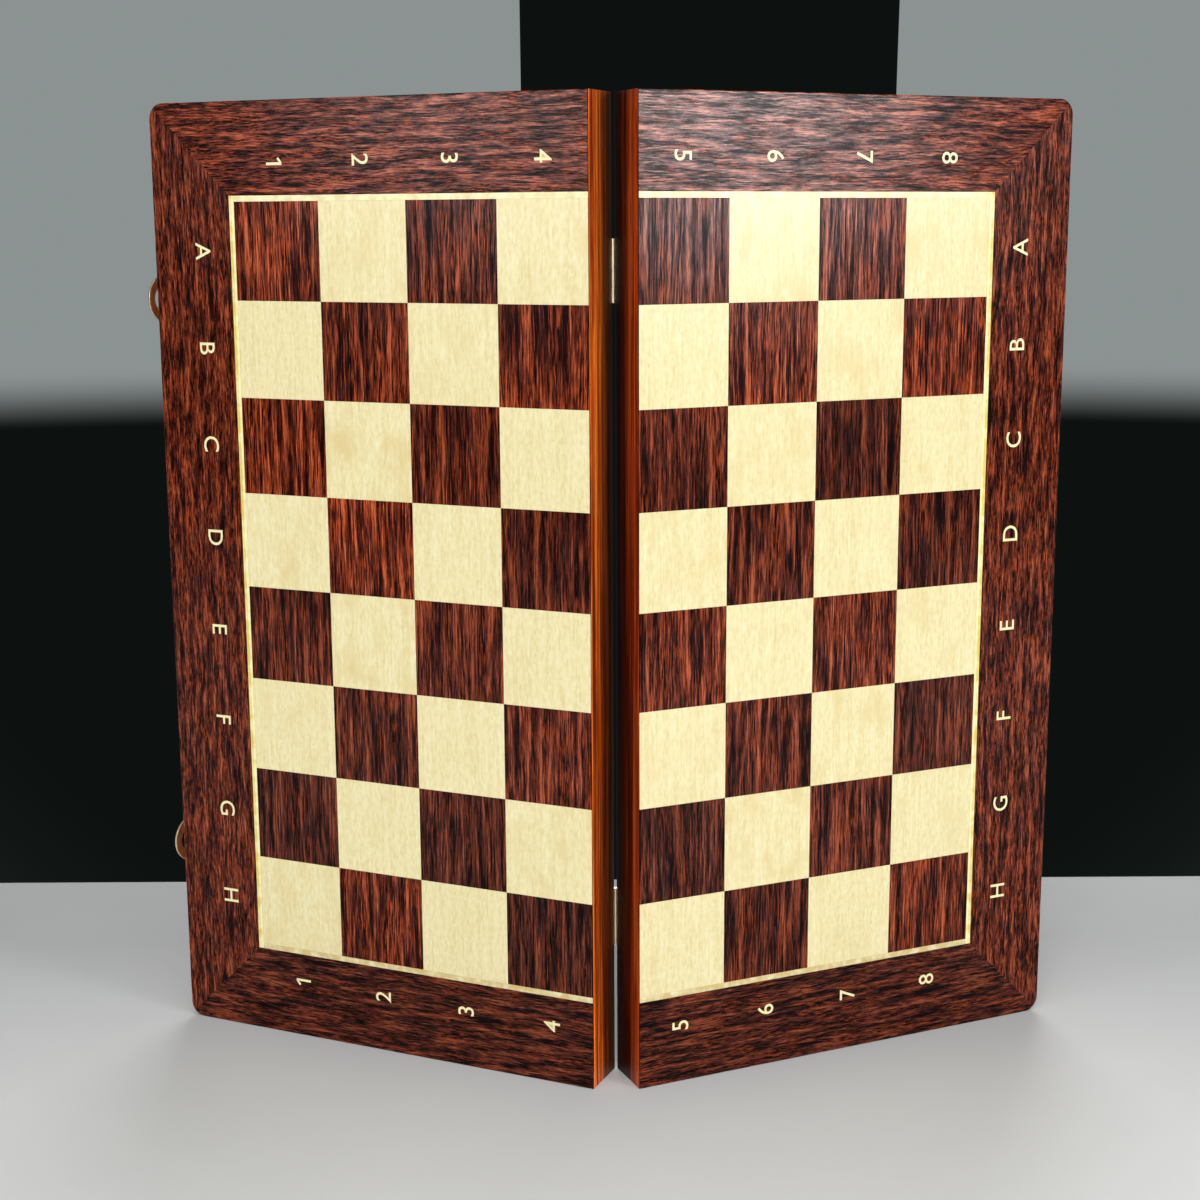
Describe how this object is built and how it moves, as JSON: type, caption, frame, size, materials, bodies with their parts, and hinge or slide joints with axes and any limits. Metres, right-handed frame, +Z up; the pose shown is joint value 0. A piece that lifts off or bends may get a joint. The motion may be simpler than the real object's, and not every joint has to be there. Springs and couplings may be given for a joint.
{
  "type": "folding chess case",
  "caption": "Two shallow hinged trays whose outer faces form a chessboard; opens like a book, closes into a case with brass loop clasps.",
  "frame": {"origin": "on the surface it stands on, in the plane of the hinge line, midway between the front and the back of its footprint", "axes": "+Z up along the hinge line, +X to the right, +Y away from the board side, towards the open trays"},
  "size_m": [0.484, 0.1263, 0.5],
  "materials": {
    "rail_wood": "orange-brown stained wood, gloss lacquer",
    "plywood": "bare plywood",
    "felt": "wool felt",
    "divider_wood": "stained wood, satin",
    "dark_veneer": "red-brown streaked veneer, satin lacquer",
    "border_veneer": "red-brown streaked veneer, satin lacquer",
    "light_veneer": "cream veneer, satin lacquer",
    "stringing": "yellow-cream veneer line, satin lacquer",
    "brass": "polished brass",
    "pin_steel": "drawn wire"
  },
  "bodies": {
    "left_half": {"left_hinge_rail": "rail_wood", "left_clasp_rail": "rail_wood", "left_top_rail": "rail_wood", "left_bottom_rail": "rail_wood", "left_panel": "plywood", "left_felt_lining": "felt", "left_long_divider": "divider_wood", "left_cross_divider": "divider_wood", "left_dark_squares": "dark_veneer", "left_light_squares": "light_veneer", "left_stringing": "stringing", "left_border_top": "border_veneer", "left_border_side": "border_veneer", "left_border_bottom": "border_veneer", "left_hinge_screws": "brass", "lower_hinge_left_leaf": "brass", "lower_hinge_pin": "pin_steel", "lower_clasp_plate": "brass", "lower_clasp_pin": "pin_steel", "upper_hinge_left_leaf": "brass", "upper_hinge_pin": "pin_steel", "upper_clasp_plate": "brass", "upper_clasp_pin": "pin_steel", "clasp_plate_screws": "brass"},
    "right_half": {"right_hinge_rail": "rail_wood", "right_clasp_rail": "rail_wood", "right_top_rail": "rail_wood", "right_bottom_rail": "rail_wood", "right_panel": "plywood", "right_felt_lining": "felt", "right_long_divider": "divider_wood", "right_cross_divider": "divider_wood", "right_dark_squares": "dark_veneer", "right_light_squares": "light_veneer", "right_stringing": "stringing", "right_border_top": "border_veneer", "right_border_side": "border_veneer", "right_border_bottom": "border_veneer", "right_hinge_screws": "brass", "lower_hinge_right_leaf": "brass", "lower_catch": "brass", "upper_hinge_right_leaf": "brass", "upper_catch": "brass", "catch_screws": "brass"},
    "lower_clasp": {"lower_clasp_loop": "brass"},
    "upper_clasp": {"upper_clasp_loop": "brass"}
  },
  "joints": [
    {"name": "board_fold", "type": "hinge", "parent": "left_half", "child": "right_half", "pos_m": [0, -0.03699, 0.25], "axis": [0, 0, -1], "range_deg": [-132.5, 47.5]},
    {"name": "lower_clasp_swing", "type": "hinge", "parent": "left_half", "child": "lower_clasp", "pos_m": [-0.23004, 0.0621, 0.1], "axis": [0, 0, 1], "range_deg": [-170, 8]},
    {"name": "upper_clasp_swing", "type": "hinge", "parent": "left_half", "child": "upper_clasp", "pos_m": [-0.23004, 0.0621, 0.4], "axis": [0, 0, 1], "range_deg": [-170, 8]}
  ]
}
